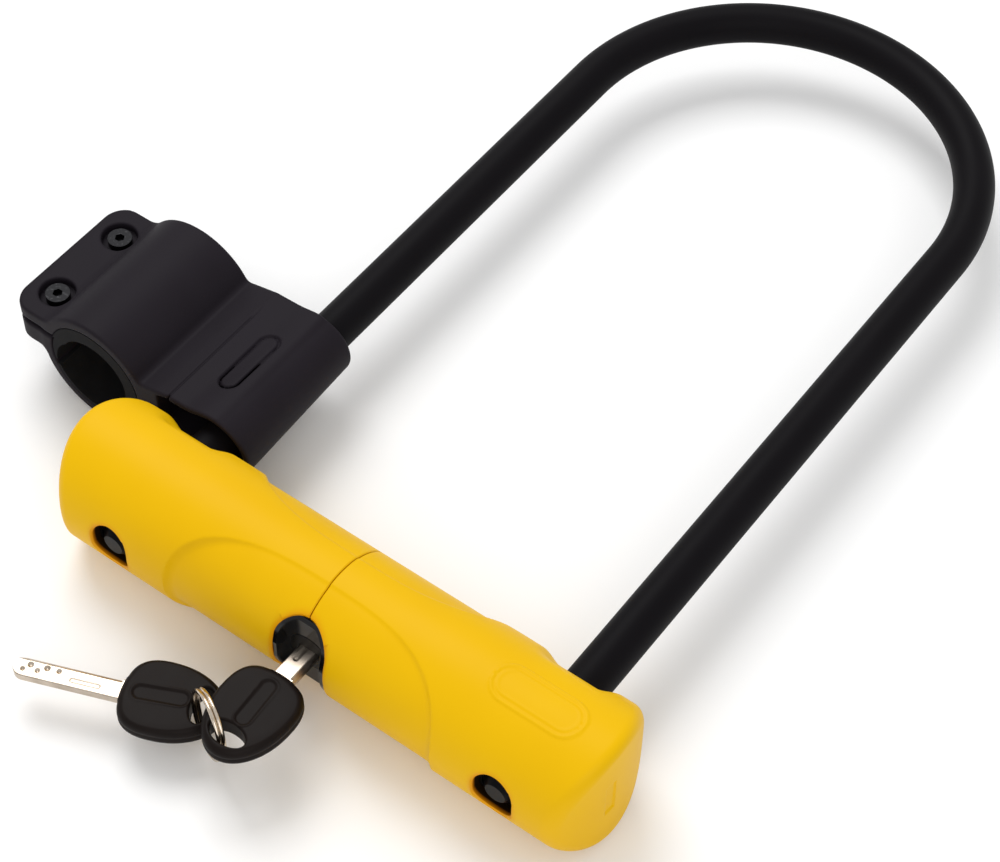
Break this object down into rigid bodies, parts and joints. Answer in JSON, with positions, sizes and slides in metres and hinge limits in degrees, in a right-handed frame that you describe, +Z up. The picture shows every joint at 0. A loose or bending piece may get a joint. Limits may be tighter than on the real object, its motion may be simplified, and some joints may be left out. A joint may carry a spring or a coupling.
{
  "type": "u lock",
  "caption": "Rigid U-shaped shackle closed by a straight tubular crossbar with a key cylinder; a clamp bracket slides on one leg.",
  "frame": {"origin": "on the crossbar's axis, midway between the two legs' centre lines", "axes": "+X along the crossbar away from the bracket, +Y from the crossbar to the bend, +Z up, out of the plane of the shackle, on the side with the clamp screws' heads"},
  "size_m": [0.2182, 0.3206, 0.0405],
  "materials": {
    "yellow_cover": "satin",
    "black_nylon": "matte",
    "gloss_black": "gloss",
    "bow_black": "satin",
    "vinyl_black": "satin",
    "hard_steel": "satin",
    "black_steel": "gloss",
    "zinc": "satin",
    "brass": "satin",
    "nickel_silver": "satin",
    "nickel_wire": "polished",
    "grey_rubber": "matte",
    "zinc_screw": "satin"
  },
  "bodies": {
    "crossbar": {"cover_left": "yellow_cover", "cover_right": "yellow_cover", "lock_tube": "hard_steel", "tube_end_plugs": "hard_steel", "bolt_guide_left": "zinc", "bolt_guide_right": "zinc", "key_escutcheon": "gloss_black", "cylinder_housing": "zinc", "driver_pins": "hard_steel", "pin_springs": "hard_steel"},
    "plug": {"plug": "brass", "plug_clip": "hard_steel", "key_pins": "brass", "cam_disc": "hard_steel"},
    "bolt_left": {"bolt_left": "hard_steel"},
    "bolt_right": {"bolt_right": "hard_steel"},
    "shackle": {"shackle_rod": "black_steel", "shackle_coat": "vinyl_black"},
    "key": {"key_blade": "nickel_silver", "key_bow": "bow_black"},
    "ring": {"key_ring": "nickel_wire"},
    "spare_key": {"spare_key_blade": "nickel_silver", "spare_key_bow": "bow_black"},
    "collar": {"leg_bush": "grey_rubber"},
    "bracket": {"bracket_shell": "black_nylon", "clamp_liner": "grey_rubber", "jaw_hinge_pin": "hard_steel", "clamp_screws": "zinc_screw"},
    "jaw": {"clamp_jaw": "black_nylon", "jaw_liner": "grey_rubber", "clamp_nuts": "zinc_screw"}
  },
  "joints": [
    {"name": "shackle_slide", "type": "slide", "parent": "crossbar", "child": "shackle", "axis": [0, 1, 0], "range_m": [0, 0.06]},
    {"name": "plug_turn", "type": "hinge", "parent": "crossbar", "child": "plug", "pos_m": [0, 0, 0], "axis": [0, 1, 0], "range_deg": [0, 90]},
    {"name": "bolt_left_slide", "type": "slide", "parent": "crossbar", "child": "bolt_left", "axis": [-1, 0, 0], "range_m": [0, 0.0051]},
    {"name": "bolt_right_slide", "type": "slide", "parent": "crossbar", "child": "bolt_right", "axis": [1, 0, 0], "range_m": [0, 0.0051]},
    {"name": "key_slide", "type": "slide", "parent": "plug", "child": "key", "axis": [0, -1, 0], "range_m": [0, 0.024]},
    {"name": "ring_turn", "type": "hinge", "parent": "key", "child": "ring", "pos_m": [-0.0084, -0.0426, -0.00435], "axis": [0.4637, 0.8796, -0.1063], "continuous": true},
    {"name": "spare_key_swing", "type": "hinge", "parent": "key", "child": "spare_key", "pos_m": [-0.0084, -0.0426, -0.00435], "axis": [0.4637, 0.8796, -0.1063], "range_deg": [-5, 5]},
    {"name": "bracket_slide", "type": "slide", "parent": "shackle", "child": "collar", "axis": [0, 1, 0], "range_m": [0, 0.09]},
    {"name": "bracket_swivel", "type": "hinge", "parent": "collar", "child": "bracket", "pos_m": [-0.061, 0.045, 0], "axis": [0, 1, 0], "range_deg": [-90, 90]},
    {"name": "jaw_close", "type": "hinge", "parent": "bracket", "child": "jaw", "pos_m": [-0.0874, 0.045, -0.01], "axis": [0, 1, 0], "range_deg": [0, 1.2]}
  ],
  "couplings": [
    {"joint": "bolt_left_slide", "follows": "plug_turn", "m_per_rad": 0.0031831},
    {"joint": "bolt_right_slide", "follows": "plug_turn", "m_per_rad": 0.0031831}
  ]
}
